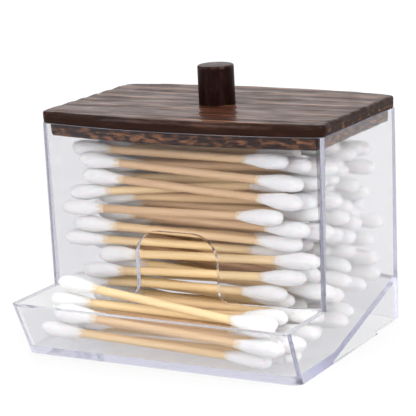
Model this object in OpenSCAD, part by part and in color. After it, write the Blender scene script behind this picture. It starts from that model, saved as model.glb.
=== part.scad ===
// Cotton swab holder: a clear moulded box with a dispensing tray, a wooden lid and its swabs.
// Millimetres, +Z up, front towards -Y. The origin is under the middle of the whole holder.

/* [Swabs] */
// Length of one swab from end to end
swab_len = 75; // [60:0.5:90]
// Diameter of the bamboo stick
stick_d = 2.5; // [1.5:0.1:3]
// Largest diameter of a cotton tip
tip_d = 5; // [4:0.1:7]
// Length of a cotton tip
tip_len = 15; // [10:0.5:20]
// Diameter of a tip's rounded end
tip_end_d = 4; // [3:0.1:6]
// Distance of a tip's thickest place from its end
tip_belly = 6.5; // [4:0.5:9]
// Cotton beyond the end of the stick
tip_cap = 1.8; // [1:0.1:3]
// Thickness of the cotton where it ends on the stick
tip_neck_t = 0.35; // [0.2:0.05:0.8]
// Running gap between a stick and the cotton wound on it
wrap_gap = 0.05; // [0.02:0.01:0.1]
// Gap left between swabs that lie on each other, and under the lowest ones
lie_gap = 0.2; // [0.1:0.05:0.5]
// Most that one end of a swab lies further back than its other end
slew = 8; // [0:0.5:12]
// Number of places tried for each swab, of which the lowest is taken
tries = 20; // [1:1:40]
// Height of the heap in the tray above its rim, beside the panel and at the left end
heap_h = 10; // [0:0.5:14]
// Drop of that heap towards the tray's front, for each millimetre of depth
heap_slope = 0.5; // [0:0.1:1]
// Drop of that heap from its left end to its right end
heap_fall = 5; // [0:0.5:8]
// Seed of the way the swabs happen to lie
lie_seed = 2; // [1:1:200]

/* [Clear box] */
// Free room between the swab ends and the side walls
end_room = 6; // [2:0.5:12]
// Depth of the hopper at its corners
box_d = 50; // [36:1:80]
// Height of the rim above the table
rim_h = 66.5; // [50:0.5:100]
// Thickness of the moulded walls
wall = 2; // [1.4:0.1:3]
// How far the front and the back bulge past their corners
bow = 4.5; // [1:0.5:6]
// Radius of the upright corners
corner_r = 3; // [2.5:0.5:6]
// How far each side wall leans in from the rim down to the table
draft = 1.4; // [0.5:0.1:3]

/* [Tray and ramp] */
// Reach of the tray rim in front of the hopper corners
tray_reach = 24.8; // [16:0.1:34]
// Height of the tray rim
tray_rim_h = 16.7; // [12:0.1:24]
// How far the tray front leans out from its foot to its rim
tray_lean = 7.7; // [2:0.1:12]
// Radius of the two front corners of the tray
tray_corner_r = 4; // [3:0.5:7]
// Thickness of the tray floor
floor_t = 2.8; // [1.6:0.1:4]
// Height of the front panel's lower edge above the tray rim
slot_rise = 0.5; // [0.2:0.1:3]
// Distance of the ramp's foot behind the hopper's front corners
ramp_foot = 6.5; // [3:0.5:12]
// Height of the ramp's top at the back wall
ramp_back_h = 14.5; // [10:0.5:24]
// Thickness of the ramp
ramp_t = 2.2; // [1.4:0.1:3]
// Length of the raised part of the bottom edge at the back
heel_len = 15; // [6:1:30]
// Height of that raised part above the table
heel_rise = 1; // [0.5:0.1:3]

/* [Finger notch] */
// Width of the notch in the front panel
notch_w = 27; // [16:0.5:40]
// Height of the notch above the panel's lower edge
notch_h = 20; // [12:0.5:30]
// Radius of the notch's two upper corners
notch_r = 8; // [3:0.5:12]
// Radius that eases the notch into the panel's lower edge
notch_flare = 3.5; // [1:0.5:6]

/* [Lid] */
// Thickness of the lid's plate
lid_t = 4; // [2.5:0.1:6]
// Depth of the plug that sits in the mouth
plug_h = 4; // [2:0.1:8]
// Gap between the plug and the inside of the walls
plug_gap = 0.7; // [0.4:0.1:1.5]
// Radius of the lid's worn upper edges
edge_r = 1.8; // [0.8:0.1:2.4]
// Distance between the grain furrows of the lid
furrow_pitch = 7.6; // [5:0.2:12]
// Width of a furrow
furrow_w = 4; // [1:0.1:4.8]
// Depth of a furrow
furrow_depth = 0.35; // [0.1:0.05:0.6]
// Headroom between the highest swab and the plug
headroom = 1; // [1:0.5:10]

/* [Knob] */
// Diameter of the turned knob
knob_d = 11; // [7:0.5:20]
// Height of the knob
knob_h = 11.6; // [10.5:0.1:25]
// Chamfer round the knob's top
knob_chamfer = 0.5; // [0.2:0.1:1]
// Diameter of the screw's shank
screw_d = 3; // [2:0.5:4]
// Diameter of the screw's countersunk head
screw_head_d = 6; // [5:0.5:9]
// How far the screw goes into the knob
screw_grip = 8; // [4:0.5:10]
// Gap round the screw
screw_gap = 0.1; // [0.05:0.05:0.3]

/* [Hidden] */
$fn = 48;
big_fn = 360;
far = 300;
cut = 1;

tip_r = tip_d / 2;
stick_r = stick_d / 2;
neck_r = stick_r + tip_neck_t;
tip_end_r = tip_end_d / 2;

// Half widths at the rim and at the table, and the front corner line that all depths start from
base_half_w = swab_len / 2 + end_room + wall;
rim_half_w = base_half_w + draft;
front_y = (tray_reach - box_d - bow) / 2;
back_y = front_y + box_d;
bow_r = (rim_half_w * rim_half_w + bow * bow) / (2 * bow);
panel_h = tray_rim_h + slot_rise;

// Relief that lets the leaning side planes cut the corner arcs cleanly, and a sink that lets the
// notch's flare meet the panel's lower edge at a small angle
relief = 0.3;
notch_sink = 0.05;

// Slopes of the ramp and of the tray front
ramp_slope = atan2(ramp_back_h - floor_t, box_d - wall - ramp_foot);
lean_angle = atan2(tray_lean, tray_rim_h);
tray_foot_y = front_y - tray_reach + tray_lean;
tray_half_w = base_half_w + draft * tray_rim_h / rim_h + relief;

// Top of the plug's underside, which the swabs stay below
mouth_h = rim_h - plug_h;

// Outline of the box seen from above, moved in by an inset, with side relief for the leaning walls
module bowed_outline(inset, side_relief = 0) {
  half_w = rim_half_w - inset + side_relief;
  r = max(corner_r - inset, 0.6);
  arc_r = bow_r - inset;
  front_c = front_y - bow + bow_r;
  back_c = back_y + bow - bow_r;
  corner_x = half_w - r;
  reach = sqrt((arc_r - r) * (arc_r - r) - corner_x * corner_x);
  corner_y = front_c - reach;
  tangent_x = corner_x * arc_r / (arc_r - r);
  intersection() {
    translate([0, front_c]) circle(arc_r, $fn = big_fn);
    translate([0, back_c]) circle(arc_r, $fn = big_fn);
    translate([-tangent_x, -far / 2]) square([2 * tangent_x, far]);
  }
  translate([-half_w, corner_y]) square([2 * half_w, front_y + back_y - 2 * corner_y]);
  for (x = [-corner_x, corner_x])
    for (y = [corner_y, front_y + back_y - corner_y])
      translate([x, y]) circle(r);
}

// Everything between the two leaning side walls, moved in by an inset
module between_sides(inset) {
  lean = draft / rim_h;
  low = base_half_w - inset - lean * far;
  high = base_half_w - inset + lean * far;
  translate([0, far / 2, 0])
    rotate([90, 0, 0])
      linear_extrude(far)
        polygon([[-low, -far], [low, -far], [high, far], [-high, far]]);
}

// A profile drawn as (depth, height) and carried across the whole width
module across(points) {
  rotate([90, 0, 90])
    translate([0, 0, -far / 2])
      linear_extrude(far)
        polygon(points);
}

// The leaning body of the tray, moved in by an inset, with rounded front corners
module tray_prism(inset) {
  r = max(tray_corner_r - inset, 0.6);
  half_w = tray_half_w - inset;
  translate([0, tray_foot_y, 0])
    rotate([lean_angle, 0, 0])
      translate([0, 0, -far / 2])
        linear_extrude(far) {
          translate([-half_w, inset + r]) square([2 * half_w, far / 2]);
          translate([r - half_w, inset]) square([2 * (half_w - r), far / 2]);
          for (x = [r - half_w, half_w - r])
            translate([x, inset + r]) circle(r);
        }
}

// Space above the ramp and the floor
module above_ramp() {
  rise = tan(ramp_slope) * far / 2;
  across([[-far / 2, floor_t], [front_y + ramp_foot, floor_t],
          [front_y + ramp_foot + far / 2, floor_t + rise], [far, far], [-far / 2, far]]);
}

// Space below the ramp, open to the table
module below_ramp() {
  drop = ramp_t / cos(ramp_slope) - floor_t;
  start = front_y + ramp_foot + (drop - cut) / tan(ramp_slope);
  across([[start, -cut], [start + far / 2, -cut],
          [start + far / 2, tan(ramp_slope) * far / 2 - cut]]);
}

// Finger notch in the front panel, as a front view
module notch_outline() {
  half = notch_w / 2;
  translate([-half, 0]) square([notch_w, notch_h - notch_r]);
  translate([notch_r - half, 0]) square([notch_w - 2 * notch_r, notch_h]);
  for (x = [notch_r - half, half - notch_r])
    translate([x, notch_h - notch_r]) circle(notch_r);
  difference() {
    translate([-half - notch_flare, -cut]) square([notch_w + 2 * notch_flare, notch_flare + cut]);
    for (x = [-half - notch_flare, half + notch_flare])
      translate([x, notch_flare]) circle(notch_flare);
    for (x = [-half - notch_flare - cut, half + notch_flare])
      translate([x, -2 * cut]) square([cut, notch_flare + 2 * cut]);
  }
}

// One clear moulding: hopper, sloping ramp, tray and the hollow under the ramp
module clear_box() {
  color([0.84, 0.88, 0.95, 0.4])
    difference() {
      union() {
        intersection() {
          linear_extrude(rim_h) bowed_outline(0, relief);
          between_sides(0);
        }
        intersection() {
          tray_prism(0);
          between_sides(0);
          translate([-far / 2, front_y - far, 0]) cube([far, far + corner_r + bow, tray_rim_h]);
        }
      }
      intersection() {
        between_sides(wall);
        above_ramp();
        union() {
          linear_extrude(far / 2) bowed_outline(wall, relief);
          intersection() {
            tray_prism(wall);
            translate([-far / 2, front_y - far, -cut]) cube([far, far + ramp_foot, cut + panel_h]);
          }
        }
      }
      intersection() {
        translate([0, 0, -2 * cut]) linear_extrude(rim_h) bowed_outline(wall, relief);
        between_sides(wall);
        below_ramp();
      }
      translate([0, front_y + wall + cut, panel_h - notch_sink])
        rotate([90, 0, 0])
          linear_extrude(wall + bow + 2 * cut) notch_outline();
      translate([-far / 2, back_y - heel_len, -far]) cube([far, far, far + heel_rise]);
    }
}

// Soft upper edge of the lid along one bowed side, as a disc with a rounded top
module worn_disc(centre_y) {
  r = bow_r + relief;
  top = lid_t + relief / 2;
  translate([0, centre_y, -cut])
    rotate_extrude($fn = big_fn) {
      square([r, cut + top - edge_r]);
      square([r - edge_r, cut + top]);
      translate([r - edge_r, cut + top - edge_r]) circle(edge_r);
    }
}

// Soft upper edges of the lid's two ends
module worn_ends() {
  half_w = rim_half_w + relief;
  top = lid_t + relief / 2;
  translate([0, far / 2, 0])
    rotate([90, 0, 0])
      linear_extrude(far) {
        translate([-half_w, -cut]) square([2 * half_w, cut + top - edge_r]);
        translate([edge_r - half_w, -cut]) square([2 * (half_w - edge_r), cut + top]);
        for (x = [edge_r - half_w, half_w - edge_r])
          translate([x, top - edge_r]) circle(edge_r);
      }
}

// Grain furrows along the lid, spread over its depth with small random shifts
furrow_n = floor((box_d - furrow_w) / furrow_pitch);
furrow_r = (furrow_w * furrow_w / 4 + furrow_depth * furrow_depth) / (2 * furrow_depth);
furrow_shift = rands(-0.15, 0.15, furrow_n + 1, lie_seed);
module furrows() {
  first = (front_y + back_y - furrow_n * furrow_pitch) / 2;
  for (i = [0 : furrow_n])
    translate([-far / 2, first + (i + furrow_shift[i]) * furrow_pitch, lid_t + furrow_r - furrow_depth])
      rotate([0, 90, 0])
        cylinder(h = far, r = furrow_r, $fn = 96);
}

// Where the screw passes: shank through the lid and a countersink under the plug
screw_head_h = (screw_head_d - screw_d) / 2;
module screw_way(gap) {
  translate([0, (front_y + back_y) / 2, mouth_h]) {
    cylinder(h = plug_h + lid_t + screw_grip + gap, r = screw_d / 2 + gap);
    translate([0, 0, -gap])
      cylinder(h = screw_head_h + gap, r1 = screw_head_d / 2 + gap, r2 = screw_d / 2 + gap);
  }
}

// Wooden lid: plate with worn edges and furrows, and a plug that drops into the mouth
module lid() {
  color([0.29, 0.16, 0.1])
    difference() {
      union() {
        translate([0, 0, rim_h])
          difference() {
            intersection() {
              linear_extrude(lid_t) bowed_outline(0);
              worn_disc(front_y - bow + bow_r);
              worn_disc(back_y + bow - bow_r);
              worn_ends();
            }
            furrows();
          }
        translate([0, 0, mouth_h]) linear_extrude(plug_h) bowed_outline(wall + plug_gap);
      }
      screw_way(screw_gap);
      translate([0, (front_y + back_y) / 2, rim_h + lid_t - furrow_depth])
        cylinder(h = lid_t, d = knob_d + 2 * screw_gap);
    }
}

// Turned wooden knob, seated in a shallow flat on the lid
module knob() {
  color([0.2, 0.1, 0.07])
    difference() {
      translate([0, (front_y + back_y) / 2, rim_h + lid_t - furrow_depth])
        rotate_extrude()
          polygon([[0, 0], [knob_d / 2, 0], [knob_d / 2, knob_h - knob_chamfer],
                   [knob_d / 2 - knob_chamfer, knob_h], [0, knob_h]]);
      screw_way(screw_gap);
    }
}

// Countersunk screw that holds the knob from below
module knob_screw() {
  color([0.7, 0.7, 0.72])
    screw_way(0);
}

// Radius of a swab at a distance from its end: a round end, a belly, a neck, then the stick
function swab_r(u) =
  u < 0 ? 0 :
  u < tip_end_r ? sqrt(u * (tip_end_d - u)) :
  u < tip_belly ? tip_end_r + (tip_r - tip_end_r) * (u - tip_end_r) / (tip_belly - tip_end_r) :
  u < tip_len ? tip_r - (tip_r - neck_r) * (u - tip_belly) / (tip_len - tip_belly) :
  stick_r;

// Places along X at which swabs are compared, and a radius that covers half the way to the next place
play = end_room - lie_gap;
span = swab_len / 2 + play;
last = 28;
half_step = span / last;
places = [for (k = [0 : last]) (2 * k - last) * half_step];
function cover_r(u) =
  u < tip_belly - half_step ? swab_r(u + half_step) :
  u < tip_belly + half_step ? tip_r :
  swab_r(u - half_step);

// Faces of the bowed panel and of the back wall at a distance from the middle
function panel_front(x) = front_y - bow + bow_r - sqrt(bow_r * bow_r - x * x);
function panel_back(x) = front_y - bow + bow_r - sqrt((bow_r - wall) * (bow_r - wall) - x * x);
function back_face(x) = front_y + back_y - panel_back(x);

// Lowest axis height over the floor, the ramp and the leaning tray front
tray_wall_y = tray_foot_y + wall / cos(lean_angle);
function bed(y, r) =
  max(floor_t + r,
      floor_t + tan(ramp_slope) * (y - front_y - ramp_foot) + r / cos(ramp_slope),
      (tray_wall_y - y) / tan(lean_angle) + r / sin(lean_angle));

// How far forward and back a swab may lie, in the tray and under the panel or in the hopper
function front_stop(x, in_tray) =
  in_tray ? tray_wall_y - tray_rim_h * tan(lean_angle) : panel_back(x);
function back_stop(x, in_tray) =
  in_tray ? front_y + wall + tip_d : back_face(x);

// Highest point a swab may reach: under the plug, under the panel, or in the open heap of the tray
function top_stop(x, y, r, in_tray) =
  !in_tray ? mouth_h - headroom :
  y + r > panel_front(x) ? panel_h :
  tray_rim_h + heap_h - heap_slope * (panel_front(x) - y - r) - heap_fall * (0.5 + x / (2 * span));

// Whether two swabs, given by their depths at the places, come close to each other in plan
function beside(ys, others) =
  let (left = ys[0] - others[0], right = ys[last] - others[last])
  min(left, right) < tip_d + lie_gap && max(left, right) > -tip_d - lie_gap;

// Heights that a swab's axis needs at each place to lie on the bed and on the swabs under it
function needs(ys, rs, laid) =
  let (near = [for (s = laid) if (beside(ys, s[6])) s])
  [for (k = [0 : last])
    rs[k] == 0 ? -far :
    max(concat([bed(ys[k], rs[k] + lie_gap)],
               [for (s = near)
                 let (reach = rs[k] + s[5][k] + lie_gap, apart = ys[k] - s[6][k])
                 if (s[5][k] > 0 && abs(apart) < reach) s[7][k] + sqrt(reach * reach - apart * apart)]))];

// Lowest line over those heights that balances at the swab's middle, as [height, slope]
function rest_line(shift, heights) =
  let (
    lines = [for (k = [0 : last]) if (places[k] < shift && heights[k] > -far)
               for (n = [k + 1 : last]) if (places[n] >= shift && heights[n] > -far)
                 let (slope = (heights[n] - heights[k]) / (places[n] - places[k]))
                 [heights[k] + slope * (shift - places[k]), slope]],
    top = max([for (line = lines) line[0]])
  )
  [for (line = lines) if (line[0] == top) line][0];

// One swab on trial as [shift, y, slew, z, tilt, radii, ys, zs]: its middle, its two slopes along X,
// and its radius, depth and height at each place
function tried(draw, laid, in_tray) =
  let (
    shift = play * (2 * draw[0] - 1),
    turn = slew * (draw[1] - 0.5) / span,
    rs = [for (x = places) cover_r(swab_len / 2 - abs(x - shift))],
    sway = [for (x = places) turn * (x - shift)],
    low = max([for (k = [0 : last]) front_stop(places[k], in_tray) + rs[k] + lie_gap - sway[k]]),
    high = min([for (k = [0 : last]) back_stop(places[k], in_tray) - rs[k] - lie_gap - sway[k]]),
    y = low + (high - low) * draw[2],
    ys = [for (d = sway) y + d],
    line = rest_line(shift, needs(ys, rs, laid)),
    zs = [for (x = places) line[0] + line[1] * (x - shift)]
  )
  [shift, y, turn, line[0], line[1], rs, ys, zs];

// Whether a swab stays under everything above it
function fits(s, in_tray) =
  min([for (k = [0 : last])
    top_stop(places[k], s[6][k], s[5][k] + lie_gap, in_tray) - s[7][k] - s[5][k] - lie_gap]) >= 0;

// Random draws for every try of every swab
most_swabs = 400;
chance = rands(0, 1, 3 * tries * most_swabs, lie_seed);
function draw_of(i, n) = [for (c = [0 : 2]) chance[3 * (tries * i + n) + c]];

// Lays swab after swab, each in the lowest of its tries, until several in a row find no room
most_misses = 6;
function filled(laid, in_tray, i, misses) =
  misses > most_misses || i >= most_swabs ? laid :
  let (found = [for (n = [0 : tries - 1])
                 let (s = tried(draw_of(i, n), laid, in_tray))
                 if (fits(s, in_tray)) s])
  len(found) == 0 ? filled(laid, in_tray, i + 1, misses + 1) :
  let (low = min([for (s = found) s[3]]))
  filled(concat(laid, [[for (s = found) if (s[3] == low) s][0]]), in_tray, i + 1, 0);

// The tray and the space under the panel fill first, then the hopper on top of them
function tray_swabs() = filled([], true, 0, 0);
function hopper_swabs() =
  let (first = tray_swabs(), all = filled(first, false, len(first), 0))
  [for (i = [len(first) : 1 : len(all) - 1]) all[i]];

// Puts a swab drawn along X, centred on the origin, where it lies
module lay(swab) {
  translate([swab[0], swab[1], swab[3]])
    rotate([0, -atan(swab[4] * cos(atan(swab[2]))), atan(swab[2])])
      children();
}

module stick() {
  len = swab_len - 2 * tip_cap;
  translate([-len / 2, 0, 0]) rotate([0, 90, 0]) cylinder(h = len, r = stick_r, $fn = 24);
}

module tip_pair() {
  for (side = [0, 180])
    rotate([0, 0, side])
      translate([-swab_len / 2, 0, 0])
        rotate([0, 90, 0])
          rotate_extrude($fn = 24)
            difference() {
              intersection() {
                union() {
                  translate([0, tip_end_r]) circle(tip_end_r);
                  polygon([[0, tip_end_r], [tip_end_r, tip_end_r], [tip_r, tip_belly],
                           [neck_r, tip_len], [0, tip_len]]);
                }
                square([tip_d, tip_len]);
              }
              translate([-cut, tip_cap - wrap_gap]) square([cut + stick_r + wrap_gap, tip_len]);
            }
}

stick_colour = [0.85, 0.71, 0.47];
cotton_colour = [0.97, 0.97, 0.96];

// Swabs stored in the hopper
module hopper_swab_sticks() {
  color(stick_colour)
    for (swab = hopper_swabs())
      lay(swab) stick();
}

module hopper_swab_tips() {
  color(cotton_colour)
    for (swab = hopper_swabs())
      lay(swab) tip_pair();
}

// Swabs that have rolled out into the tray
module tray_swab_sticks() {
  color(stick_colour)
    for (swab = tray_swabs())
      lay(swab) stick();
}

module tray_swab_tips() {
  color(cotton_colour)
    for (swab = tray_swabs())
      lay(swab) tip_pair();
}

clear_box();
lid();
knob();
knob_screw();
hopper_swab_sticks();
hopper_swab_tips();
tray_swab_sticks();
tray_swab_tips();
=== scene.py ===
# %% [markdown]
# A clear box of cotton swabs under a wooden lid
#
# The holder is a clear moulded box with a sloping tray, full of bamboo cotton swabs, closed by a dark
# wooden lid with a turned knob. The construction comes in as a fixed frame, in metres, with the tray
# towards -Y. This lesson dresses it: plastic that bends light, wood with raised grain, bamboo, cotton.

# %% Load the frame
import math

import bmesh
import bpy
import numpy as np
from mathutils import Matrix, Vector, noise
from mathutils.bvhtree import BVHTree


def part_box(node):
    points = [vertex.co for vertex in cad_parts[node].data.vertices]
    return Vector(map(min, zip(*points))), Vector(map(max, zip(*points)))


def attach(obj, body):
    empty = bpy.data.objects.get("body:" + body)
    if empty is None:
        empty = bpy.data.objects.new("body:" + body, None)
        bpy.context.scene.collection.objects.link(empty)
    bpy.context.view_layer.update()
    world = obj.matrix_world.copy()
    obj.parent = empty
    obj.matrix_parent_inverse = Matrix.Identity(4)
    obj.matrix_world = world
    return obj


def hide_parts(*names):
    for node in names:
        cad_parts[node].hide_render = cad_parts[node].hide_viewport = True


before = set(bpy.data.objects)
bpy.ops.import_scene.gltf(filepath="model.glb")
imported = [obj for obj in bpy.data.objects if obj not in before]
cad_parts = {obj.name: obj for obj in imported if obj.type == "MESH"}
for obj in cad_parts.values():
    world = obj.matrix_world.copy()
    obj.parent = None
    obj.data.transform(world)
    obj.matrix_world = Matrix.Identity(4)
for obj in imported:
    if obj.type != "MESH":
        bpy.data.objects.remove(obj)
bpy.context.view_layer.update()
MM = 0.001

# %% [markdown]
# Camera
#
# The photograph was taken with a long lens from the front right, a little above the tray, and it is
# turned a touch. The view was fitted to the outline, so the camera is placed by angles round a target
# point instead of by hand. A long lens keeps the upright edges nearly parallel, as they are there.

# %% Place the camera
IMAGE_SIDE = 416
SENSOR_WIDTH = 36.0
FOCAL_PIXELS = 1885.7
AZIMUTH, ELEVATION, ROLL = (math.radians(a) for a in (29.76, 13.01, -2.88))
DISTANCE = 561.33 * MM
TARGET = Vector((0.02, 1.39, 39.91)) * MM

back = Vector((
    math.sin(AZIMUTH) * math.cos(ELEVATION),
    -math.cos(AZIMUTH) * math.cos(ELEVATION),
    math.sin(ELEVATION),
))
level_right = Vector((math.cos(AZIMUTH), math.sin(AZIMUTH), 0))
level_up = back.cross(level_right)
right = level_right * math.cos(ROLL) + level_up * math.sin(ROLL)
up = level_up * math.cos(ROLL) - level_right * math.sin(ROLL)

lens = bpy.data.cameras.new("camera")
lens.sensor_width = SENSOR_WIDTH
lens.lens = FOCAL_PIXELS * SENSOR_WIDTH / IMAGE_SIDE
camera = bpy.data.objects.new("camera", lens)
bpy.context.scene.collection.objects.link(camera)
camera_turn = Matrix((right, up, back)).transposed().to_4x4()
camera.matrix_world = Matrix.Translation(TARGET + back * DISTANCE) @ camera_turn
bpy.context.scene.camera = camera
print(f"camera: {lens.lens:.0f} mm lens, {DISTANCE:.2f} m away")

# %% [markdown]
# Shader maths
#
# A shader is a web of small nodes, and long formulas get hard to read as wires. One small class wraps an
# output socket, so that adding or multiplying two outputs adds the Math node by itself. The same class
# works in Geometry Nodes, because both kinds of tree share their Math nodes.

# %% A wire that can do sums
def math_operator(operation, flip=False):
    """An operator method that adds one Math node."""
    def run(wire, other):
        pair = {0: other, 1: wire} if flip else {0: wire, 1: other}
        return wire.node("ShaderNodeMath", {"operation": operation}, pair)
    return run


class Wire:
    """One output of a node, or just the tree to start from."""

    def __init__(self, tree, socket=None):
        self.tree = tree
        self.socket = socket

    __add__ = __radd__ = math_operator("ADD")
    __mul__ = __rmul__ = math_operator("MULTIPLY")
    __sub__ = math_operator("SUBTRACT")
    __rsub__ = math_operator("SUBTRACT", flip=True)

    def node(self, kind, settings=None, sockets=None, out=0):
        """Adds a node, sets it up, feeds its sockets and gives back one of its outputs."""
        made = self.tree.nodes.new(kind)
        for name, value in (settings or {}).items():
            if name == "stops":
                place_stops(made.color_ramp, value)
            elif name == "curve":
                place_points(made.mapping, value)
            else:
                setattr(made, name, value)
        for key, value in (sockets or {}).items():
            if isinstance(value, Wire):
                self.tree.links.new(value.socket, made.inputs[key])
            else:
                made.inputs[key].default_value = value
        return Wire(self.tree, made.outputs[out] if made.outputs else None)


def place_stops(ramp, stops):
    """Sets a colour ramp to a list of (place, colour)."""
    while len(ramp.elements) < len(stops):
        ramp.elements.new(1.0)
    for element, (place, colour) in zip(ramp.elements, stops):
        element.position = place
        element.color = (*colour, 1.0)


def place_points(mapping, points):
    """Sets a float curve to a list of (place, height)."""
    curve = mapping.curves[0]
    while len(curve.points) < len(points):
        curve.points.new(1.0, 1.0)
    for point, place in zip(curve.points, points):
        point.location = place
    mapping.update()


print("wires can do sums")


# %% Helpers for finishes
def new_finish(name):
    """An empty material and the wire that starts its tree."""
    material = bpy.data.materials.new(name)
    material.use_nodes = True
    material.node_tree.nodes.clear()
    return material, Wire(material.node_tree)


def end_finish(start, surface, volume=None):
    """Joins the last shader to the material's output."""
    ends = {"Surface": surface}
    if volume:
        ends["Volume"] = volume
    start.node("ShaderNodeOutputMaterial", None, ends)


def stretched_noise(start, stretch, detail=4.0, roughness=0.6, seed_shift=(0, 0, 0)):
    """Noise on Object coordinates, with its own count of waves per metre along X, Y and Z."""
    place = start.node("ShaderNodeTexCoord", out="Object")
    spread = start.node("ShaderNodeMapping", None, {
        "Vector": place, "Scale": stretch, "Location": seed_shift,
    })
    return start.node("ShaderNodeTexNoise", None, {
        "Vector": spread, "Scale": 1.0, "Detail": detail, "Roughness": roughness,
    })


def blended(start, share, first, second):
    """A colour between two colours."""
    return start.node("ShaderNodeMix", {"data_type": "RGBA"}, {0: share, 6: first, 7: second}, out=2)


print("shader helpers ready")

# %% [markdown]
# Stage and light
#
# The photograph has a white studio that is bright all round, so the clear walls hardly mirror anything. A
# dark flag at each side gives the edges of the plastic something to pick up. The floor glows a little,
# which keeps its shadows pale, and three large soft lamps shape the swabs. Light turns back many times
# inside clear plastic before it gets out, so it is let bounce far more often than usual.

# %% Plain colours and many bounces
scene = bpy.context.scene
scene.view_settings.view_transform = "Standard"

MOST_BOUNCES = 96
for limit in ("max_bounces", "transmission_bounces", "glossy_bounces", "transparent_max_bounces"):
    setattr(scene.cycles, limit, MOST_BOUNCES)
print("light may bounce", MOST_BOUNCES, "times")

# %% White floor
FLOOR_HALF = 6.0
FLOOR_DROP = 0.05 * MM


def white_floor():
    """A wide pale plane just under the holder."""
    mesh = bpy.data.meshes.new("floor")
    signs = ((-1, -1), (1, -1), (1, 1), (-1, 1))
    corners = [(x * FLOOR_HALF, y * FLOOR_HALF, -FLOOR_DROP) for x, y in signs]
    mesh.from_pydata(corners, [], [(0, 1, 2, 3)])
    floor = bpy.data.objects.new("floor", mesh)
    scene.collection.objects.link(floor)
    material, start = new_finish("studio_floor")
    cloud = stretched_noise(start, (3, 3, 3))
    tone = blended(start, cloud, (0.21, 0.21, 0.21, 1), (0.23, 0.23, 0.23, 1))
    place = start.node("ShaderNodeTexCoord", out="Object")
    away = start.node("ShaderNodeVectorMath", {"operation": "LENGTH"}, {0: place}, out="Value")
    glow = start.node("ShaderNodeMapRange", None, {
        "Value": away, "From Min": 0.1, "From Max": 0.8, "To Min": 0.74, "To Max": 0.78,
    })
    end_finish(start, start.node("ShaderNodeBsdfPrincipled", None, {
        "Base Color": tone, "Roughness": 0.9, "Specular IOR Level": 0.0, "Emission Color": glow,
        "Emission Strength": 1.0,
    }))
    mesh.materials.append(material)


white_floor()
print("floor:", 2 * FLOOR_HALF, "m wide")

# %% Studio sky
SKY_LOW, SKY_HIGH = 0.9, 1.2
FLAG_START, FLAG_FULL, FLAG_DARK = 0.5, 0.6, 0.9


def studio_sky():
    """A white surround, brighter overhead, with a dark flag at the left and at the right."""
    world = bpy.data.worlds.new("studio")
    scene.world = world
    world.use_nodes = True
    world.node_tree.nodes.clear()
    start = Wire(world.node_tree)
    direction = start.node("ShaderNodeTexCoord", out="Generated")
    sideways = start.node("ShaderNodeSeparateXYZ", None, {"Vector": direction}, out="X")
    height = start.node("ShaderNodeSeparateXYZ", None, {"Vector": direction}, out="Z")
    strength = start.node("ShaderNodeMapRange", {"interpolation_type": "SMOOTHSTEP"}, {
        "Value": height, "From Min": 0.0, "From Max": 0.6, "To Min": SKY_LOW, "To Max": SKY_HIGH,
    })
    flags = start.node("ShaderNodeMapRange", {"interpolation_type": "SMOOTHSTEP"}, {
        "Value": sideways * sideways - height * height,
        "From Min": FLAG_START, "From Max": FLAG_FULL, "To Min": 0.0, "To Max": FLAG_DARK,
    })
    sky = start.node("ShaderNodeBackground", None, {
        "Color": (1, 1, 1, 1), "Strength": strength * (1 - flags),
    })
    start.node("ShaderNodeOutputWorld", None, {"Surface": sky})


studio_sky()
print("sky with two flags")


# %% Soft lamps
def soft_lamp(name, place, size, power):
    """A square soft box that looks at the middle of the holder."""
    light = bpy.data.lights.new(name, "AREA")
    light.shape = "SQUARE"
    light.size = size
    light.energy = power
    lamp = bpy.data.objects.new(name, light)
    scene.collection.objects.link(lamp)
    lamp.location = place
    lamp.rotation_euler = (TARGET - Vector(place)).to_track_quat("-Z", "Y").to_euler()


soft_lamp("key_lamp", place=(-0.5, -0.85, 0.3), size=0.5, power=2.4)
soft_lamp("side_lamp", place=(0.85, -0.35, 0.3), size=0.5, power=3.3)
soft_lamp("top_lamp", place=(0.15, 0.25, 0.9), size=0.7, power=2.2)
print("three soft lamps")

# %% [markdown]
# Clear plastic
#
# The box is one clear moulding. Its walls are two millimetres thick, and its edges look lavender because
# light that comes out of an edge has gone a long way through the plastic, which absorbs a little red and
# green on the way. The small rounds along the edges, and the lines where the upright corners begin, are
# painted darker, as painted shade for the dark lines that bent light shows there; their faces carry a mark
# that the shader reads. A touch of haze softens what lies deep in the box. Lamp light passes straight
# through, because a renderer can't find a lamp through bent rays, and the swabs inside would be left dark.

# %% Clear plastic finish
# The second tint is painted shade: near black on the rounds and corner lines, in place of the dark lines
# that bent light shows there.
WALL_TINT, EDGE_SHADE_TINT = (0.88, 0.878, 0.893, 1), (0.08, 0.08, 0.11, 1)
DEPTH_TINT, DEPTH_STRENGTH = (0.70, 0.70, 0.84, 1), 13.0
HAZE, SCUFFED = 0.085, 0.13


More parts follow.
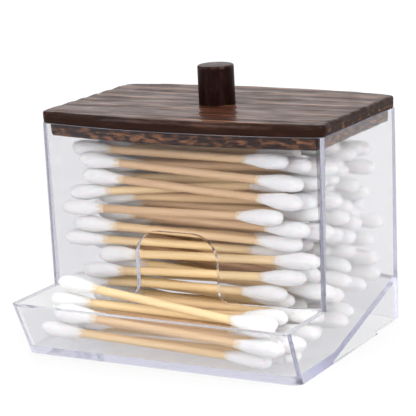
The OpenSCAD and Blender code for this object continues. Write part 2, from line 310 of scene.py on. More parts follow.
def clear_plastic():
    """Clear moulded plastic with a few faint scuffs, and painted shade on its marked edges."""
    material, start = new_finish("clear_plastic")
    scuff = stretched_noise(start, (400, 400, 90), detail=3.0)
    dull = start.node("ShaderNodeMapRange", None, {
        "Value": scuff, "From Min": 0.62, "From Max": 0.8, "To Min": HAZE, "To Max": SCUFFED,
    })
    crease = start.node("ShaderNodeAttribute", {"attribute_name": "crease"}, out="Fac")
    # Painted shade: marked faces take the near-black tint.
    clear = blended(start, crease, WALL_TINT, EDGE_SHADE_TINT)
    plastic = start.node("ShaderNodeBsdfPrincipled", None, {
        "Base Color": clear, "Roughness": dull, "IOR": 1.5,
        "Transmission Weight": 1.0, "Specular Tint": (0.3, 0.3, 0.33, 1),
    })
    pass_through = start.node("ShaderNodeBsdfTransparent", None, {"Color": (1, 1, 1, 1)})
    to_lamp = start.node("ShaderNodeLightPath", out="Is Shadow Ray")
    surface = start.node("ShaderNodeMixShader", None, {0: to_lamp, 1: plastic, 2: pass_through})
    tint = start.node("ShaderNodeVolumeAbsorption", None, {"Color": DEPTH_TINT, "Density": DEPTH_STRENGTH})
    end_finish(start, surface, tint)
    return material


clear_finish = clear_plastic()
print("clear plastic:", len(clear_finish.node_tree.nodes), "nodes")

# %% Soften the box's edges
CORNER_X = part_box("clear_box")[1].x - 4.0 * MM
# Shares of a face's normal that tell how upright it is and how far round a corner.
UPRIGHT, CORNER_START, CORNER_END = 0.2, 0.22, 0.5
# How much painted shade the rounds and the faces beside the upright corners take.
ROUND_SHADE, CORNER_SHADE = 1.0, 0.7
FLAT_ANGLE, CRISP_ANGLE = math.radians(0.6), math.radians(28)


def merged_copy(node, join=1e-6):
    """A bmesh of a frame node with its loose triangles joined."""
    bm = bmesh.new()
    bm.from_mesh(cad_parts[node].data)
    bmesh.ops.remove_doubles(bm, verts=bm.verts, dist=join)
    return bm


def piece_from(bm, name, material):
    """Turns a bmesh into an object at the origin."""
    mesh = bpy.data.meshes.new(name)
    bm.to_mesh(mesh)
    bm.free()
    mesh.materials.append(material)
    piece = bpy.data.objects.new(name, mesh)
    scene.collection.objects.link(piece)
    return piece


def beside_corner(face):
    """Whether a face is where an upright outer corner runs out into its flat walls."""
    normal, middle = face.normal, face.calc_center_median()
    on_corner = abs(middle.x) > CORNER_X and normal.x * middle.x > 0 and abs(normal.z) < UPRIGHT
    return on_corner and CORNER_START < min(abs(normal.x), abs(normal.y)) < CORNER_END


def moulded_box(edge=0.25 * MM):
    """The clear box with the small edge radii that a mould leaves, marked for painted shade on its rounds
    and beside its upright corners.
    """
    bm = merged_copy("clear_box")
    crease = bm.faces.layers.float.new("crease")
    bmesh.ops.dissolve_limit(bm, angle_limit=FLAT_ANGLE, verts=bm.verts, edges=bm.edges)
    crisp = [e for e in bm.edges if e.is_manifold and e.calc_face_angle() > CRISP_ANGLE]
    rounds = bmesh.ops.bevel(
        bm, geom=crisp, offset=edge, segments=2, profile=0.6, affect="EDGES", clamp_overlap=True)
    # The new rounds take full painted shade, the faces beside the corners a little less.
    for face in rounds["faces"]:
        face[crease] = ROUND_SHADE
    for face in bm.faces:
        face.smooth = True
        if beside_corner(face):
            face[crease] = CORNER_SHADE
    box = piece_from(bm, "moulded_box", clear_finish)
    even = box.modifiers.new("even_normals", "WEIGHTED_NORMAL")
    even.keep_sharp = True
    return box


box = moulded_box()
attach(box, "box")
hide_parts("clear_box")
print("moulded box:", len(box.data.polygons), "faces")

# %% [markdown]
# Dark wood
#
# The lid is stained softwood that was brushed hard, so the soft rings are worn into furrows and the hard
# rings stand proud. The stain is nearly black in the furrows and rubbed to orange on the ridges and at the
# end grain. A thin varnish gives the top its pale sheen. The shader reads three marks that the mesh
# carries: how worn, how polished and how roughly sawn the wood is there. Where the polish is low, on the
# sides, the plug and the rounded edge, the stain is also painted darker, as painted shade.

# %% Stained wood finish
WOOD_MARKS = ("wear", "polish", "sawn")
MOTTLE_WAVES = (300, 330, 1000)


def mark_wood(vert, layers, values):
    """Writes the wood's marks on one corner of a mesh."""
    for layer, value in zip(layers, values):
        vert[layer] = value


def stained_wood(name, streaks, dashes, colours, shine):
    """Stained wood with long streaks and short dashes, varnished where polished, painted darker as shade
    where not polished, and mottled where sawn.
    """
    dark, brown, rubbed = colours
    material, start = new_finish(name)
    wear, polish, sawn = (
        start.node("ShaderNodeAttribute", {"attribute_name": mark}, out="Fac") for mark in WOOD_MARKS)
    fibres = stretched_noise(start, streaks, detail=6.0, roughness=0.65)
    fine = stretched_noise(start, dashes, detail=5.0, roughness=0.7, seed_shift=(3, 1, 2))
    blotch = stretched_noise(start, [0.3 * s for s in streaks], detail=4.0, seed_shift=(7, 5, 1))
    mottle = stretched_noise(start, MOTTLE_WAVES, detail=4.0, seed_shift=(2, 8, 5))
    # Where the polish mark is low the stain is pushed to its dark end: painted shade on the sides, the
    # plug, the rounded edge and the knob's flank.
    stain = start.node("ShaderNodeValToRGB", {"stops": [
        (0.38, dark), (0.52, brown), (0.66, [1.7 * c for c in brown]),
    ]}, {"Fac": fibres * 0.45 + fine * 0.55 - (1 - polish) * 0.2})
    patches = (blotch - 0.5) * 1.5 * (1 - sawn) + (mottle - 0.5) * 3 * sawn
    share = start.node("ShaderNodeMapRange", None, {
        "Value": wear + patches + (fine - 0.5) * 0.9, "From Min": 0.5, "From Max": 1.2,
    })
    colour = blended(start, share, stain, (*rubbed, 1))
    dull = start.node("ShaderNodeMapRange", None, {
        "Value": fine, "From Min": 0.3, "From Max": 0.7, "To Min": 0.28, "To Max": 0.5,
    })
    varnish = start.node("ShaderNodeMapRange", None, {
        "Value": fine, "From Min": 0.4, "From Max": 0.6, "To Min": 0.06, "To Max": 0.58,
    })
    pores = start.node("ShaderNodeBump", None, {
        "Height": fine * 0.7 + fibres * 0.3, "Strength": 0.5, "Distance": 0.25 * MM,
    })
    wood = start.node("ShaderNodeBsdfPrincipled", None, {
        "Base Color": colour, "Roughness": dull, "Normal": pores, "Specular IOR Level": shine,
        "Coat Weight": polish * varnish, "Coat Roughness": 0.1,
    })
    end_finish(start, wood)
    return material


LID_COLOURS = ((0.020, 0.007, 0.004), (0.064, 0.022, 0.012), (0.34, 0.14, 0.06))
lid_wood = stained_wood(
    "dark_wood", streaks=(14, 300, 300), dashes=(70, 340, 340), colours=LID_COLOURS, shine=0.05)
print("dark wood:", len(lid_wood.node_tree.nodes), "nodes")

# %% [markdown]
# The lid's shape
#
# The frame's lid has the true outline, worn edges and furrows, but smooth ones. Rays from above and from
# the sides measure it, so the new mesh follows it. Its ridges are then shaved and its edge rounded over,
# grooves along X are cut into the plate, and the plug below is left ragged, as a saw leaves it. Only
# material is taken away, so the lid still fits its box.

# %% Measure the lid with rays
FAR_OFF = 0.5
lid_low, lid_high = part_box("lid")
rim_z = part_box("clear_box")[1].z
lid_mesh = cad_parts["lid"].data
lid_rays = BVHTree.FromPolygons(
    [v.co for v in lid_mesh.vertices], [tuple(p.vertices) for p in lid_mesh.polygons])


def wall_y(x, z, side):
    """Where a line along Y at (x, z) first meets the lid, from the front (-1) or the back (1)."""
    return lid_rays.ray_cast(Vector((x, side * FAR_OFF, z)), Vector((0, -side, 0)))[0].y


def wall_x(z):
    """Half the lid's width at a height, measured through its middle."""
    middle_y = (lid_low.y + lid_high.y) / 2
    return lid_rays.ray_cast(Vector((FAR_OFF, middle_y, z)), Vector((-1, 0, 0)))[0].x


def top_z(x, y):
    """Height of the lid's top at (x, y)."""
    hit = lid_rays.ray_cast(Vector((x, y, FAR_OFF)), Vector((0, 0, -1)))[0]
    return hit.z if hit else rim_z


ALONG, ACROSS = 200, 110
EDGE_SHY = 0.9995
PLATE_CUT = 0.5 * MM


def outline_grid(z):
    """Points of a grid that fills the lid's outline at a height, closer together near its edges."""
    half = wall_x(z) * EDGE_SHY
    xs = half * np.sin(np.linspace(-math.pi / 2, math.pi / 2, ALONG))
    shares = 0.5 - 0.5 * np.cos(np.linspace(0, math.pi, ACROSS))
    grid = np.zeros((ALONG, ACROSS, 2))
    for i, x in enumerate(xs):
        front, rear = wall_y(x, z, -1), wall_y(x, z, 1)
        grid[i, :, 0] = x
        grid[i, :, 1] = front + (rear - front) * (EDGE_SHY * (shares - 0.5) + 0.5)
    return grid


def loop_of(grid):
    """The outer loop of a grid, counter-clockwise from the front left."""
    return np.concatenate([grid[:-1, 0], grid[-1, :-1], grid[:0:-1, -1], grid[0, :0:-1]])


plate = outline_grid(rim_z + PLATE_CUT)
plug_loop = loop_of(outline_grid((rim_z + lid_low.z) / 2))
print(f"lid measured: {ALONG} x {ACROSS} rays, plate {2e3 * plate[-1, 0, 0]:.1f} mm wide")

# %% Find the grain and the hard rings
PROUD = 0.03 * MM
EDGE_SAMPLES = 6
CREST_HALF, CREST_WANDER = 0.7 * MM, 0.9 * MM


def grain(x, y, z, waves=(22, 700, 700)):
    """Depth of the grain at a point, from 0 on a hard ring to 1 in a soft one."""
    point = Vector((x * waves[0], y * waves[1], z * waves[2]))
    return min(1.0, max(0.0, 0.5 + 0.8 * noise.fractal(point, 0.8, 2.0, 4)))


def crest_lines(x=0.3 * lid_high.x, steps=600):
    """Places along Y of the hard rings, the middles of the strips that the furrows leave standing."""
    front, rear = wall_y(x, rim_z + MM, -1), wall_y(x, rim_z + MM, 1)
    ys = np.linspace(front, rear, steps)[EDGE_SAMPLES:-EDGE_SAMPLES]
    proud = np.array([top_z(x, y) for y in ys]) > lid_high.z - PROUD
    starts = np.flatnonzero(np.diff(np.concatenate([[0], proud.astype(int), [0]])))
    return np.array([(ys[a] + ys[b - 1]) / 2 for a, b in starts.reshape(-1, 2)])


def off_crest(x, y):
    """How far a point of the top is off the nearest hard ring, from 0 on it to 1 well beside it."""
    wander = CREST_WANDER * noise.noise(Vector((x * 35, y * 60, 4.0)))
    reach = min(1.0, np.abs(CRESTS - y - wander).min() / CREST_HALF)
    return reach * reach * (3 - 2 * reach)


CRESTS = crest_lines()
print("hard rings:", len(CRESTS))

# %% Carve the top
GRAIN_DEPTH, CREST_DEPTH = 0.12 * MM, 0.08 * MM
SHAVED = 0.17 * MM
EDGE_R = 0.9 * MM


def from_edge(i, j):
    """Distance of a grid point from the lid's outline."""
    x, y = plate[i, j]
    return min(y - plate[i, 0, 1], plate[i, -1, 1] - y, plate[-1, 0, 0] - abs(x))


def worn_height(i, j):
    """Height of the top at a grid point, with the furrows' ridges shaved and the edge rounded over."""
    whole = top_z(*plate[i, j])
    shaved = min(whole, (whole + lid_high.z) / 2 - SHAVED)
    short = max(0.0, EDGE_R - from_edge(i, j))
    return shaved - EDGE_R + math.sqrt(EDGE_R ** 2 - short ** 2)


def top_marks(i, j, depth, beside):
    """Wood marks of a point of the top: rubbed on the hard rings, less rubbed and less polished at the
    edge, where the low polish paints shade.
    """
    inner = min(1.0, from_edge(i, j) / (2 * EDGE_R))
    wear = inner * (0.25 + 0.7 * (1 - beside)) + 0.3 * (0.5 - depth)
    polish = 0.4 + 0.6 * inner
    return wear, polish, 0.0


def carved_top(bm, marks):
    """The grained top of the lid, as a grid of corners."""
    top = np.empty((ALONG, ACROSS), dtype=object)
    for i in range(ALONG):
        for j in range(ACROSS):
            x, y = plate[i, j]
            depth, beside = grain(x, y, 0), off_crest(x, y)
            z = worn_height(i, j) - GRAIN_DEPTH * depth - CREST_DEPTH * beside
            top[i, j] = bm.verts.new((x, y, z))
            mark_wood(top[i, j], marks, top_marks(i, j, depth, beside))
    for i in range(ALONG - 1):
        for j in range(ACROSS - 1):
            bm.faces.new((top[i, j], top[i + 1, j], top[i + 1, j + 1], top[i, j + 1]))
    return top


lid_bm = bmesh.new()
lid_marks = [lid_bm.verts.layers.float.new(mark) for mark in WOOD_MARKS]
lid_top = carved_top(lid_bm, lid_marks)
print("lid's top:", len(lid_bm.faces), "faces")

# %% Carve the sides and the plug
SAW_DEPTH = 0.45 * MM
LEVEL_GRAIN, SAW_GRAIN = (40, 420, 900), (260, 260, 420)
UNDER_GAP, UNDER_INSET = 0.02 * MM, 0.5 * MM
END_ZONE = 0.5 * MM
# Wood marks of each kind of surface: how worn, polished and sawn it is. Low polish also paints the stain
# darker, as painted shade.
LONG_SIDE, END_GRAIN, SAWN_PLUG = (0.1, 0.14, 0.1), (0.4, 0.12, 0.8), (0.6, 0.1, 1.0)
# Each step down a side is the share of its height and the inset in millimetres.
PLATE_STEPS = [(0.15, 0.0), (0.4, 0.0), (0.65, 0.0), (0.85, 0.05), (0.96, 0.2)]
PLUG_STEPS = [(0.0, 0.0), (0.3, 0.0), (0.55, 0.0), (0.8, 0.05), (0.93, 0.25), (1.0, 0.6)]


def inward(loop):
    """Unit normals of a counter-clockwise loop that point to its inside."""
    along = np.roll(loop, -1, axis=0) - np.roll(loop, 1, axis=0)
    normal = np.stack([-along[:, 1], along[:, 0]], axis=1)
    return normal / np.linalg.norm(normal, axis=1, keepdims=True)


def ring(loop, normals, inset, heights, depth, waves):
    """One ring of lid points: a loop moved in by an inset and by the grain."""
    points = []
    for (x, y), (nx, ny), z in zip(loop, normals, heights):
        cut = inset + depth * grain(x, y, z, waves)
        points.append((x + nx * cut, y + ny * cut, z))
    return points


def side_rings(edge_z):
    """Rings of points from the top's edge down the plate's side, under it and down the plug."""
    plate_loop = loop_of(plate)
    plate_in, plug_in = inward(plate_loop), inward(plug_loop)
    under = np.full(len(plug_loop), rim_z + UNDER_GAP)
    rings = []
    for share, inset in PLATE_STEPS:
        zs = edge_z + (rim_z - edge_z) * share
        rings.append(ring(plate_loop, plate_in, inset * MM, zs, GRAIN_DEPTH, LEVEL_GRAIN))
    rings.append(ring(plate_loop, plate_in, UNDER_INSET, under, 0.0, LEVEL_GRAIN))
    for share, inset in PLUG_STEPS:
        zs = under + (lid_low.z - under) * share
        rings.append(ring(plug_loop, plug_in, inset * MM, zs, SAW_DEPTH, SAW_GRAIN))
    return rings


def side_marks(place):
    """Wood marks of a point below the top."""
    if place.z < rim_z:
        return SAWN_PLUG
    return END_GRAIN if abs(place.x) > lid_high.x - END_ZONE else LONG_SIDE


def carved_sides(bm, rim, marks):
    """Hangs the sides and the plug on the top's rim and gives back the lowest loop of corners."""
    edge_z = np.array([vert.co.z for vert in rim])
    loops = [list(rim)] + [[bm.verts.new(p) for p in points] for points in side_rings(edge_z)]
    for upper, lower in zip(loops, loops[1:]):
        for k in range(len(upper)):
            n = (k + 1) % len(upper)
            bm.faces.new((upper[k], lower[k], lower[n], upper[n]))
    for loop in loops[1:]:
        for vert in loop:
            mark_wood(vert, marks, side_marks(vert.co))
    return loops[-1]


plug_foot = carved_sides(lid_bm, loop_of(lid_top), lid_marks)
print("lid with sides:", len(lid_bm.faces), "faces")

# %% Close the plug round the screw
HEAD_PLAY, SINK_DEPTH, SINK_SHARE = 0.2 * MM, 2.0 * MM, 0.5
SUNK_HOLE = (0.55, 0.1, 1.0)


def close_plug(bm, loop, marks, sides=32):
    """Fills the plug's underside round a countersunk hole for the knob's screw."""
    low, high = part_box("knob_screw")
    centre = (low + high) / 2
    head_r = (high.x - low.x) / 2 + HEAD_PLAY
    angles = [2 * math.pi * k / sides for k in range(sides)]
    rings = []
    for radius, z in ((head_r, lid_low.z), (head_r * SINK_SHARE, lid_low.z + SINK_DEPTH)):
        points = [(centre.x + radius * math.cos(a), centre.y + radius * math.sin(a), z) for a in angles]
        rings.append([bm.verts.new(p) for p in points])
    for k in range(sides):
        n = (k + 1) % sides
        bm.faces.new((rings[0][k], rings[1][k], rings[1][n], rings[0][n]))
    bm.faces.new(rings[1][::-1])
    rims = []
    for verts in (loop, rings[0]):
        rims += [bm.edges.get((verts[k], verts[(k + 1) % len(verts)])) for k in range(len(verts))]
    bmesh.ops.triangle_fill(bm, edges=rims, use_beauty=True, normal=(0, 0, -1))
    for vert in rings[0] + rings[1]:
        mark_wood(vert, marks, SUNK_HOLE)


close_plug(lid_bm, plug_foot, lid_marks)
for lid_face in lid_bm.faces:
    lid_face.smooth = True
wooden_lid = piece_from(lid_bm, "wooden_lid", lid_wood)
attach(wooden_lid, "lid")
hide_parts("lid")
print("wooden lid:", len(wooden_lid.data.polygons), "faces")

# %% [markdown]
# Knob and screw
#
# The knob was turned on a lathe from the same dark wood, so it is a profile spun round its axis, with its
# edges eased and faint tool rings. Its grain stands upright. The screw under the lid is zinc-plated steel.

# %% Turn the knob
KNOB_EASE, EASE_STEPS = 0.55 * MM, 4
TOOL_DEPTH, TOOL_WAVES = 0.05 * MM, 40
OUT_OF_TRUE, UPRIGHT_GRAIN = 0.006, (600, 600, 60)
# The knob's flank has little polish, so its stain is painted darker than its top: painted shade.
KNOB_SIDE, KNOB_TOP = (0.25, 0.15, 0.0), (0.25, 0.8, 0.0)
SHARP_ANGLE = math.radians(50)


def knob_profile(radius, height, rings=28):
    """Radius and height of the knob's points, from its foot up over the eased edge to its middle."""
    profile = [(0.0, 0.0), (radius, 0.0)]
    straight = height - KNOB_EASE
    for k in range(rings):
        share = k / (rings - 1)
        profile.append((radius - TOOL_DEPTH * math.sin(share * TOOL_WAVES) ** 2, share * straight))
    for k in range(1, EASE_STEPS + 1):
        turn = k / EASE_STEPS * math.pi / 2
        profile.append((radius - KNOB_EASE * (1 - math.cos(turn)), straight + KNOB_EASE * math.sin(turn)))
    return profile + [(0.0, height)]


def turned_knob(material, sides=96):
    """The knob's profile spun round its axis, a little out of true."""
    low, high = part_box("knob")
    centre = (low + high) / 2
    radius, height = (high.x - low.x) / 2, high.z - low.z
    profile = knob_profile(radius, height)
    bm = bmesh.new()
    marks = [bm.verts.layers.float.new(mark) for mark in WOOD_MARKS]
    columns = []
    for s in range(sides):
        cos, sin = math.cos(2 * math.pi * s / sides), math.sin(2 * math.pi * s / sides)
        column = []
        for r, z in profile:
            swell = 1 - OUT_OF_TRUE * grain(cos * radius, sin * radius, z, UPRIGHT_GRAIN)
            vert = bm.verts.new((centre.x + r * swell * cos, centre.y + r * swell * sin, low.z + z))
            mark_wood(vert, marks, KNOB_SIDE if z < height - KNOB_EASE else KNOB_TOP)
            column.append(vert)
        columns.append(column)
    for s in range(sides):
        here, there = columns[s], columns[(s + 1) % sides]
        for k in range(len(profile) - 1):
            bm.faces.new((here[k], there[k], there[k + 1], here[k + 1]))
    bmesh.ops.remove_doubles(bm, verts=bm.verts, dist=1e-7)
    bmesh.ops.recalc_face_normals(bm, faces=bm.faces)
    for face in bm.faces:
        face.smooth = True
    piece = piece_from(bm, "turned_knob", material)
    piece.data.set_sharp_from_angle(angle=SHARP_ANGLE)
    return piece


KNOB_COLOURS = ((0.012, 0.003, 0.002), (0.034, 0.008, 0.004), (0.10, 0.045, 0.03))
knob_wood = stained_wood(
    "knob_wood", streaks=(420, 420, 40), dashes=(900, 900, 260), colours=KNOB_COLOURS, shine=0.04)
turned = turned_knob(knob_wood)
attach(turned, "lid")
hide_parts("knob")
print("knob:", len(turned.data.polygons), "faces")


# %% Plate the screw
def zinc_plate():
    """Bright zinc with fine turning marks."""
    material, start = new_finish("screw_steel")
    marks = stretched_noise(start, (900, 900, 5000), detail=3.0)
    tone = blended(start, marks, (0.42, 0.42, 0.44, 1), (0.68, 0.68, 0.7, 1))
    dull = start.node("ShaderNodeMapRange", None, {"Value": marks, "To Min": 0.2, "To Max": 0.45})
    steel = start.node("ShaderNodeBsdfPrincipled", None, {
        "Base Color": tone, "Metallic": 1.0, "Roughness": dull,
    })
    end_finish(start, steel)
    return material


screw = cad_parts["knob_screw"]
screw.data.materials.clear()
screw.data.materials.append(zinc_plate())
print("screw plated")

# %% [markdown]
# Cotton swabs
#
# The holder is full of swabs that all differ a little in place and tilt. The frame already says where each
# one lies, so its sticks are measured: the middle and the direction of every stick become one point.
# Geometry Nodes then put a detailed stick and two tips on those points. That is far lighter than modelling
# each swab.

# %% Find every swab
def solids_of(node):
    """The corner points of each separate solid of a frame node."""
    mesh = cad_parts[node].data
    places = np.array([v.co for v in mesh.vertices])
    _, joined = np.unique(np.round(places, 7), axis=0, return_inverse=True)
    corners = joined.reshape(-1)[np.array([p.vertices for p in mesh.polygons])]
    label = np.arange(joined.max() + 1)
    settled = False
    while not settled:
        lowest = label[corners].min(axis=1)
        before = label.copy()
        for k in range(3):
            np.minimum.at(label, corners[:, k], lowest)
        settled = bool((before == label).all())
    owner = label[joined.reshape(-1)]
    return [places[owner == n] for n in np.unique(owner)]


def axis_of(points):
    """Middle and direction of a slender solid that lies roughly along X."""
    middle = (points.min(axis=0) + points.max(axis=0)) / 2
    ends = [points[points[:, 0] < middle[0]], points[points[:, 0] > middle[0]]]
    along = ends[1].mean(axis=0) - ends[0].mean(axis=0)
    return middle, along / np.linalg.norm(along)


def slender_size(points):
    """Length and largest radius of a slender solid."""
    middle, along = axis_of(points)
    offset = points - middle
    run = offset @ along
    away = np.linalg.norm(offset - np.outer(run, along), axis=1)
    return run.max() - run.min(), away.max()


swabs = {heap: [axis_of(s) for s in solids_of(f"{heap}_swab_sticks")] for heap in ("hopper", "tray")}
STICK_LEN, STICK_R = slender_size(solids_of("tray_swab_sticks")[0])
TIP_LEN, TIP_R = slender_size(solids_of("tray_swab_tips")[0])
print("swabs:", {heap: len(found) for heap, found in swabs.items()})
print(f"tip: {TIP_LEN / MM:.1f} x {2 * TIP_R / MM:.1f} mm")

# %% [markdown]
# Bamboo and cotton
#
# Split bamboo is pale straw with fine darker fibres along it, and no two sticks have the same tone, so
# every stick carries a random tone of its own. Cotton is white and soft: a little light goes in and comes
# out again, and loose fibres catch light at the outline, which the shader calls sheen. At its neck a tip is
# wound so thin that the stick shows through.

# %% Bamboo finish
DARK_FIBRE = (0.46, 0.25, 0.12, 1)


def split_bamboo():
    """Pale bamboo with lengthwise fibres and a tone for each stick."""
    material, start = new_finish("bamboo")
    tone = start.node("ShaderNodeAttribute", {"attribute_name": "tone"}, out="Fac")
    fibres = stretched_noise(start, (30, 1500, 1500), detail=5.0)
    streak = stretched_noise(start, (12, 420, 420), detail=2.0, seed_shift=(4, 4, 4))
    straw = start.node("ShaderNodeValToRGB", {"stops": [
        (0.0, (0.60, 0.37, 0.22)), (0.3, (0.78, 0.54, 0.31)),
        (0.6, (0.86, 0.64, 0.35)), (1.0, (0.91, 0.71, 0.41)),
    ]}, {"Fac": tone * 0.8 + (fibres - 0.4) * 0.5})
    colour = blended(start, (streak - 0.45) * 1.3, straw, DARK_FIBRE)
    grooves = start.node("ShaderNodeBump", None, {"Height": fibres, "Strength": 0.4, "Distance": 0.1 * MM})
    bamboo = start.node("ShaderNodeBsdfPrincipled", None, {
        "Base Color": colour, "Roughness": 0.5 + fibres * 0.2, "Normal": grooves,
    })
    end_finish(start, bamboo)
    return material


bamboo = split_bamboo()
print("bamboo:", len(bamboo.node_tree.nodes), "nodes")

# %% Cotton finish
BARE_STICK = (0.82, 0.62, 0.38, 1)
BRIGHT_COTTON, GREY_COTTON = (0.96, 0.95, 0.945, 1), (0.90, 0.89, 0.885, 1)


def wound_cotton():
    """Soft white cotton with a fibrous surface, so thin at its neck that the stick shows."""
    material, start = new_finish("cotton")
    fibres = stretched_noise(start, (420, 2600, 2600), detail=5.0, roughness=0.7)
    clumps = stretched_noise(start, (420, 620, 620), detail=4.0, roughness=0.7)
    reach = start.node("ShaderNodeAttribute", {"attribute_name": "reach"}, out="Fac")
    white = blended(start, clumps, BRIGHT_COTTON, GREY_COTTON)
    cover = start.node("ShaderNodeMapRange", {"interpolation_type": "SMOOTHSTEP"}, {
        "Value": reach + (fibres - 0.5) * 0.5 + (clumps - 0.5) * 0.3, "From Min": 0.0, "From Max": 0.2,
    })
    colour = blended(start, cover, BARE_STICK, white)
    fluff = start.node("ShaderNodeBump", None, {
        "Height": fibres * 0.3 + clumps * 0.7, "Strength": 1.0, "Distance": 0.9 * MM,
    })
    cotton = start.node("ShaderNodeBsdfPrincipled", None, {
        "Base Color": colour, "Roughness": 0.95, "Normal": fluff, "Sheen Weight": 0.5,
        "Sheen Roughness": 0.6, "Subsurface Weight": 0.2, "Subsurface Scale": 1.2 * MM,
        "Specular IOR Level": 0.1,
    })
    end_finish(start, cotton)
    return material


cotton = wound_cotton()
print("cotton:", len(cotton.node_tree.nodes), "nodes")

# %% [markdown]
# Laying the swabs with Geometry Nodes
#
# Both trees start from bare points that carry a direction. One makes a stick, the other sweeps a circle
# along a short line whose radius follows the outline of a wound tip, and notes how far along the tip each
# ring is. Both put their shape on every point, give each copy a random tone, and end as real mesh with its
# material.

# %% Start and end a tree
def new_tree(name, inputs):
    """An empty Geometry Nodes tree with named inputs, its start wire and a wire for each input."""
    tree = bpy.data.node_groups.new(name, "GeometryNodeTree")
    tree.interface.new_socket("Geometry", in_out="INPUT", socket_type="NodeSocketGeometry")
    tree.interface.new_socket("Geometry", in_out="OUTPUT", socket_type="NodeSocketGeometry")
    for label, kind in inputs.items():
        tree.interface.new_socket(label, in_out="INPUT", socket_type=kind)
    start = Wire(tree)
    given = tree.nodes.new("NodeGroupInput")
    return tree, start, {s.name: Wire(tree, s) for s in given.outputs if s.name}


def end_tree(start, geometry, material):
    """Smooth shading, the material, and the way out."""
    smooth = start.node("GeometryNodeSetShadeSmooth", None, {"Geometry": geometry})
    dressed = start.node("GeometryNodeSetMaterial", None, {"Geometry": smooth, "Material": material})
    start.node("NodeGroupOutput", None, {0: dressed})


def on_points(start, points, shape, seed):
    """Copies of a shape that stands along Z, turned to each point's direction, as real mesh with a tone."""
    along = start.node("GeometryNodeInputNamedAttribute", {"data_type": "FLOAT_VECTOR"}, {"Name": "along"})
    turn = start.node("FunctionNodeAlignRotationToVector", {"axis": "Z"}, {"Vector": along})
    copies = start.node("GeometryNodeInstanceOnPoints", None, {
        "Points": points, "Instance": shape, "Rotation": turn,
    })
    tone = start.node("FunctionNodeRandomValue", {"data_type": "FLOAT"}, {"Seed": seed}, out=1)
    toned = start.node("GeometryNodeStoreNamedAttribute", {"data_type": "FLOAT", "domain": "INSTANCE"}, {
        "Geometry": copies, "Name": "tone", "Value": tone,
    })
    return start.node("GeometryNodeRealizeInstances", None, {"Geometry": toned})


print("tree helpers ready")

# %% A tree that lays sticks
STICK_SIDES, STICK_STEPS = 14, 4


def stick_tree():
    """A stick for every point."""
    tree, start, given = new_tree("lay_sticks", {
        "Length": "NodeSocketFloat", "Radius": "NodeSocketFloat", "Seed": "NodeSocketInt",
        "Material": "NodeSocketMaterial",
    })
    shape = start.node("GeometryNodeMeshCylinder", None, {
        "Vertices": STICK_SIDES, "Side Segments": STICK_STEPS,
        "Radius": given["Radius"], "Depth": given["Length"],
    })
    sticks = on_points(start, given["Geometry"], shape, given["Seed"])
    end_tree(start, sticks, given["Material"])
    return tree


sticks_tree = stick_tree()
print("stick tree:", len(sticks_tree.nodes), "nodes")

# %% A tree that winds tips
RING_REACH = (0.0, 0.2, 0.4, 0.58, 0.74, 0.85, 0.925, 0.975, 1.0)
RING_WIDTH = (0.53, 0.7, 0.9, 1.0, 0.98, 0.87, 0.7, 0.45, 0.1)
TIP_RINGS, TIP_SIDES = len(RING_REACH), 12
LUMP_WAVES, LUMP_DETAIL, LUMP_CREST = 380.0, 3.0, 0.62


def evenly(heights):
    """Points of a curve at even places from 0 to 1."""
    return [(k / (len(heights) - 1), height) for k, height in enumerate(heights)]


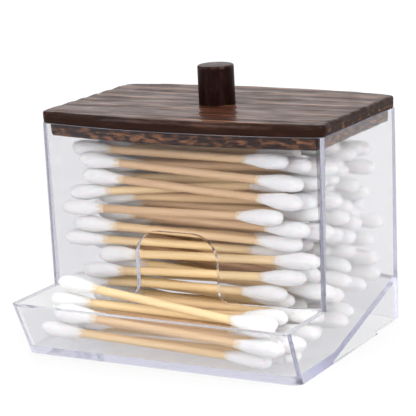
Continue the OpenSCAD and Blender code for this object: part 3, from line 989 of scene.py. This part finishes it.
def tip_tree():
    """A wound cotton tip for every point."""
    tree, start, given = new_tree("wind_tips", {
        "Length": "NodeSocketFloat", "Radius": "NodeSocketFloat", "Lumps": "NodeSocketFloat",
        "Seed": "NodeSocketInt", "Material": "NodeSocketMaterial",
    })
    end = start.node("ShaderNodeCombineXYZ", None, {"Z": given["Length"]})
    line = start.node("GeometryNodeCurvePrimitiveLine", None, {"End": end})
    path = start.node("GeometryNodeResampleCurve", None, {"Curve": line, "Count": TIP_RINGS})
    number = start.node("GeometryNodeInputIndex")
    share = number * (1 / (TIP_RINGS - 1))
    spacing = start.node("ShaderNodeFloatCurve", {"curve": evenly(RING_REACH)}, {"Value": share})
    place = start.node("ShaderNodeCombineXYZ", None, {"Z": spacing * given["Length"]})
    spaced = start.node("GeometryNodeSetPosition", None, {"Geometry": path, "Position": place})
    marked = start.node("GeometryNodeStoreNamedAttribute", {"data_type": "FLOAT", "domain": "POINT"}, {
        "Geometry": spaced, "Name": "reach", "Value": spacing,
    })
    outline = start.node("ShaderNodeFloatCurve", {"curve": evenly(RING_WIDTH)}, {"Value": share})
    circle = start.node("GeometryNodeCurvePrimitiveCircle", None, {
        "Resolution": TIP_SIDES, "Radius": given["Radius"],
    })
    shape = start.node("GeometryNodeCurveToMesh", None, {
        "Curve": marked, "Profile Curve": circle, "Scale": outline, "Fill Caps": True,
    })
    tips = on_points(start, given["Geometry"], shape, given["Seed"])
    here = start.node("GeometryNodeInputPosition")
    lumps = start.node("ShaderNodeTexNoise", None, {
        "Vector": here, "Scale": LUMP_WAVES, "Detail": LUMP_DETAIL,
    })
    normal = start.node("GeometryNodeInputNormal")
    push = start.node("ShaderNodeVectorMath", {"operation": "SCALE"}, {
        0: normal, "Scale": (lumps - LUMP_CREST) * given["Lumps"],
    })
    soft = start.node("GeometryNodeSetPosition", None, {"Geometry": tips, "Offset": push})
    end_tree(start, soft, given["Material"])
    return tree


tips_tree = tip_tree()
print("tip tree:", len(tips_tree.nodes), "nodes")


# %% Fill the box
def grown(name, tree, places, directions, values):
    """Runs a tree on points and gives back a plain mesh object."""
    mesh = bpy.data.meshes.new(name)
    mesh.from_pydata([tuple(p) for p in places], [], [])
    along = mesh.attributes.new("along", "FLOAT_VECTOR", "POINT")
    along.data.foreach_set("vector", np.array(directions, dtype=np.float32).ravel())
    source = bpy.data.objects.new(f"{name}_points", mesh)
    scene.collection.objects.link(source)
    growth = source.modifiers.new("growth", "NODES")
    growth.node_group = tree
    sockets = {s.name: s.identifier for s in tree.interface.items_tree if s.in_out == "INPUT"}
    for label, value in values.items():
        growth[sockets[label]] = value
    bpy.context.view_layer.update()
    result = source.evaluated_get(bpy.context.evaluated_depsgraph_get())
    grown_mesh = bpy.data.meshes.new_from_object(result)
    grown_mesh.name = name
    piece = bpy.data.objects.new(name, grown_mesh)
    scene.collection.objects.link(piece)
    bpy.data.objects.remove(source)
    return piece


SEEDS = {"hopper": 3, "tray": 8}
TIP_CAP, LUMP_HEIGHT = 1.8 * MM, 0.9 * MM
for heap, found in swabs.items():
    middles = [m for m, a in found]
    ways = [a for m, a in found]
    sticks = grown(f"{heap}_sticks", sticks_tree, middles, ways, {
        "Length": STICK_LEN, "Radius": STICK_R, "Seed": SEEDS[heap], "Material": bamboo,
    })
    neck = STICK_LEN / 2 + TIP_CAP - TIP_LEN
    necks = [m + side * neck * a for m, a in found for side in (-1, 1)]
    outward = [side * a for m, a in found for side in (-1, 1)]
    tips = grown(f"{heap}_tips", tips_tree, necks, outward, {
        "Length": TIP_LEN, "Radius": TIP_R, "Lumps": LUMP_HEIGHT, "Seed": SEEDS[heap], "Material": cotton,
    })
    for piece, part, slot in ((sticks, "sticks", "bamboo"), (tips, "tips", "cotton")):
        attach(piece, "box")
        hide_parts(f"{heap}_swab_{part}")
        print(piece.name, len(piece.data.polygons), "faces")
